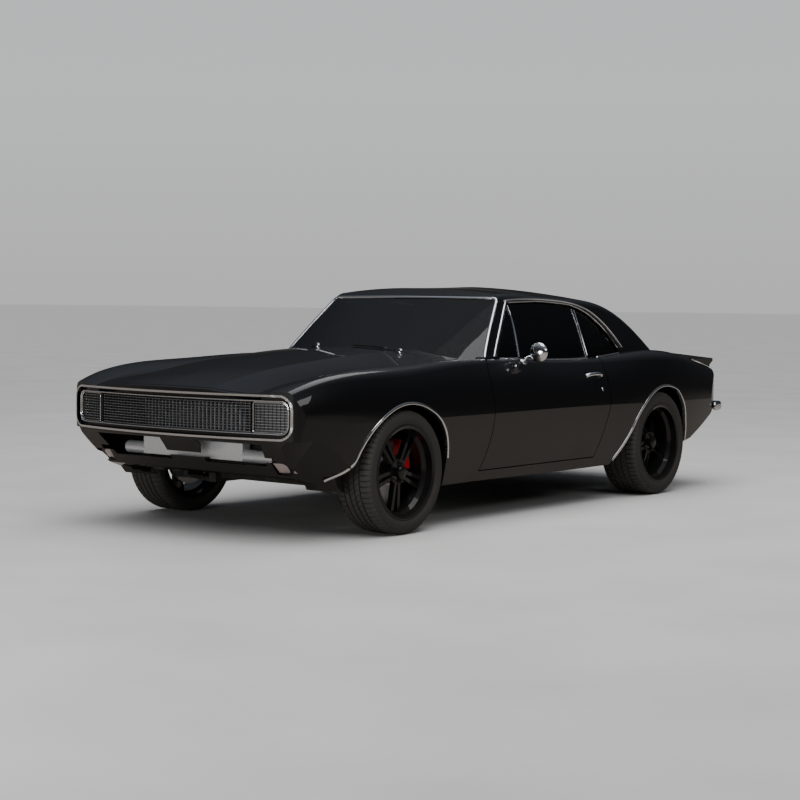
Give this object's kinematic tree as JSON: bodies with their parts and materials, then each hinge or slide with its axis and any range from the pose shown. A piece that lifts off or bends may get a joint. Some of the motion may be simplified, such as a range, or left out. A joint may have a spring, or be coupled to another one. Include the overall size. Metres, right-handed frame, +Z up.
{
  "type": "two-door hardtop muscle car",
  "caption": "Two-door hardtop coupe with opening doors, hood and decklid, steered front wheels and free rolling wheels.",
  "frame": {"origin": "on the ground under the middle of the car's overall box", "axes": "+Z up, +Y towards the tail, +X towards the car's left side"},
  "size_m": [1.906, 4.698, 1.3486],
  "materials": {
    "body_paint": "gloss black paint under clear lacquer",
    "black_trim": "satin black",
    "tinted_glass": "dark tinted glass",
    "lamp_red": "red lamp lens",
    "chrome_trim": "bright chrome",
    "underbody": "dusty semi-gloss black",
    "engine_iron": "dark cast metal",
    "cooler_metal": "bare aluminium",
    "pipe_steel": "dulled steel",
    "cabin_plastic": "black grained plastic",
    "seat_cloth": "black vinyl",
    "caliper_red": "red enamel",
    "tyre_rubber": "dusty black rubber",
    "rim_paint": "gloss black",
    "rotor_steel": "ground steel",
    "cast_metal": "dark cast iron"
  },
  "bodies": {
    "root": {"dashboard": "cabin_plastic", "exhaust": "pipe_steel", "fender_left": "body_paint", "fender_right": "body_paint", "firewall_cowl": "body_paint", "floor_pan": "underbody", "front_subframe": "underbody", "front_valance": "black_trim", "fuel_tank": "underbody", "grille": "black_trim", "grille_surround": "chrome_trim", "intercooler": "cooler_metal", "nose_panel": "body_paint", "powertrain": "engine_iron", "propshaft": "underbody", "quarter_glass_left": "tinted_glass", "quarter_glass_right": "tinted_glass", "quarter_left": "body_paint", "quarter_right": "body_paint", "radiator": "black_trim", "rear_axle": "underbody", "rear_bumper": "chrome_trim", "rear_glass": "tinted_glass", "rear_shelf": "black_trim", "rocker_left": "body_paint", "rocker_right": "body_paint", "roof": "body_paint", "seat_front_left": "seat_cloth", "seat_front_right": "seat_cloth", "seat_rear": "seat_cloth", "steering_column": "cabin_plastic", "tail_lamps": "lamp_red", "tail_panel": "body_paint", "windshield": "tinted_glass"},
    "hood": {"hood": "body_paint"},
    "decklid": {"decklid": "body_paint", "spoiler": "body_paint"},
    "door_left": {"door_left": "body_paint", "door_glass_left": "tinted_glass", "mirror_left": "chrome_trim"},
    "door_right": {"door_right": "body_paint", "door_glass_right": "tinted_glass", "mirror_right": "chrome_trim"},
    "knuckle_left": {"knuckle_left": "cast_metal", "caliper_front_left": "caliper_red"},
    "knuckle_right": {"knuckle_right": "cast_metal", "caliper_front_right": "caliper_red"},
    "wheel_fl": {"rim_front_left": "rim_paint", "tyre_front_left": "tyre_rubber", "rotor_front_left": "rotor_steel"},
    "wheel_fr": {"rim_front_right": "rim_paint", "tyre_front_right": "tyre_rubber", "rotor_front_right": "rotor_steel"},
    "wheel_rl": {"rim_rear_left": "rim_paint", "tyre_rear_left": "tyre_rubber", "drum_rear_left": "cast_metal"},
    "wheel_rr": {"rim_rear_right": "rim_paint", "tyre_rear_right": "tyre_rubber", "drum_rear_right": "cast_metal"},
    "steering_wheel": {"steering_wheel": "cabin_plastic"}
  },
  "joints": [
    {"name": "hood_hinge", "type": "hinge", "parent": "root", "child": "hood", "pos_m": [0, -0.708, 0.972], "axis": [-1, 0, 0], "range_deg": [0, 50]},
    {"name": "decklid_hinge", "type": "hinge", "parent": "root", "child": "decklid", "pos_m": [0, 1.64, 0.966], "axis": [1, 0, 0], "range_deg": [0, 60]},
    {"name": "door_left_hinge", "type": "hinge", "parent": "root", "child": "door_left", "pos_m": [0.845, -0.53, 0.6], "axis": [0, 0, -1], "range_deg": [0, 65]},
    {"name": "door_right_hinge", "type": "hinge", "parent": "root", "child": "door_right", "pos_m": [-0.845, -0.53, 0.6], "axis": [0, 0, 1], "range_deg": [0, 65]},
    {"name": "steer_left", "type": "hinge", "parent": "root", "child": "knuckle_left", "pos_m": [0.684, -1.417, 0.335], "axis": [0, 0, 1], "range_deg": [-30, 30]},
    {"name": "steer_right", "type": "hinge", "parent": "root", "child": "knuckle_right", "pos_m": [-0.684, -1.417, 0.335], "axis": [0, 0, 1], "range_deg": [-30, 30]},
    {"name": "wheel_fl_spin", "type": "hinge", "parent": "knuckle_left", "child": "wheel_fl", "pos_m": [0.78, -1.417, 0.335], "axis": [1, 0, 0], "continuous": true},
    {"name": "wheel_fr_spin", "type": "hinge", "parent": "knuckle_right", "child": "wheel_fr", "pos_m": [-0.78, -1.417, 0.335], "axis": [1, 0, 0], "continuous": true},
    {"name": "wheel_rl_spin", "type": "hinge", "parent": "root", "child": "wheel_rl", "pos_m": [0.767, 1.329, 0.34], "axis": [1, 0, 0], "continuous": true},
    {"name": "wheel_rr_spin", "type": "hinge", "parent": "root", "child": "wheel_rr", "pos_m": [-0.767, 1.329, 0.34], "axis": [1, 0, 0], "continuous": true},
    {"name": "steering_wheel_turn", "type": "hinge", "parent": "root", "child": "steering_wheel", "pos_m": [0.37, -0.13, 0.835], "axis": [0, 0.9272, 0.3746], "range_deg": [-450, 450]}
  ],
  "couplings": [
    {"joint": "steer_right", "follows": "steer_left", "ratio": 1},
    {"joint": "steering_wheel_turn", "follows": "steer_left", "ratio": 15}
  ]
}
